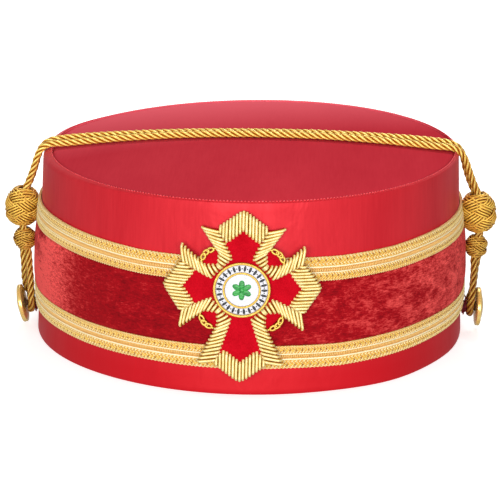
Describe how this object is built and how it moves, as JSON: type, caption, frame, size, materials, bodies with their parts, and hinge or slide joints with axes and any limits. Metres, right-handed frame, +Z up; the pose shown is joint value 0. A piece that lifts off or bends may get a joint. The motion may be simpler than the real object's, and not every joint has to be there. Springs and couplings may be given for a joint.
{
  "type": "masonic crown cap",
  "caption": "Stiff oval satin crown cap with a velvet band between gold braids, an embroidered cross on the front and a twisted gold cord looped over the top to side buttons.",
  "frame": {"origin": "middle of the cap's box on the plane of the hem", "axes": "+Z up from the hem to the top, -Y to the front with the cross, +X to the viewer's right as seen from the front"},
  "size_m": [0.2142, 0.2132, 0.0858],
  "materials": {
    "satin": "red satin with a fine vertical weave",
    "velvet": "deep red crushed velvet",
    "gold_braid": "woven pale gold metallic braid",
    "red_felt": "bright red felt",
    "bullion": "pale gold coiled bullion wire",
    "white_twill": "white embroidered twill",
    "green_thread": "green satin stitch",
    "gold_cord": "twisted deep gold cord",
    "button_brass": "polished brass"
  },
  "bodies": {
    "root": {"crown_wall": "satin", "crown_tip": "satin", "velvet_band": "velvet", "braid_upper": "gold_braid", "braid_lower": "gold_braid", "cross_ground": "red_felt", "bullion_tip_top": "bullion", "bullion_bar_top_1": "bullion", "bullion_bar_top_2": "bullion", "corner_scroll_top": "bullion", "bullion_tip_left": "bullion", "bullion_bar_left_1": "bullion", "bullion_bar_left_2": "bullion", "corner_scroll_left": "bullion", "bullion_tip_bottom": "bullion", "bullion_bar_bottom_1": "bullion", "bullion_bar_bottom_2": "bullion", "corner_scroll_bottom": "bullion", "bullion_tip_right": "bullion", "bullion_bar_right_1": "bullion", "bullion_bar_right_2": "bullion", "corner_scroll_right": "bullion", "roundel_disc": "white_twill", "roundel_rim": "bullion", "roundel_ring": "bullion", "roundel_rosette": "green_thread", "cap_cord": "gold_cord", "knot_large_left": "gold_cord", "knot_small_left": "gold_cord", "side_button_left": "button_brass", "knot_large_right": "gold_cord", "knot_small_right": "gold_cord", "side_button_right": "button_brass"}
  },
  "joints": []
}
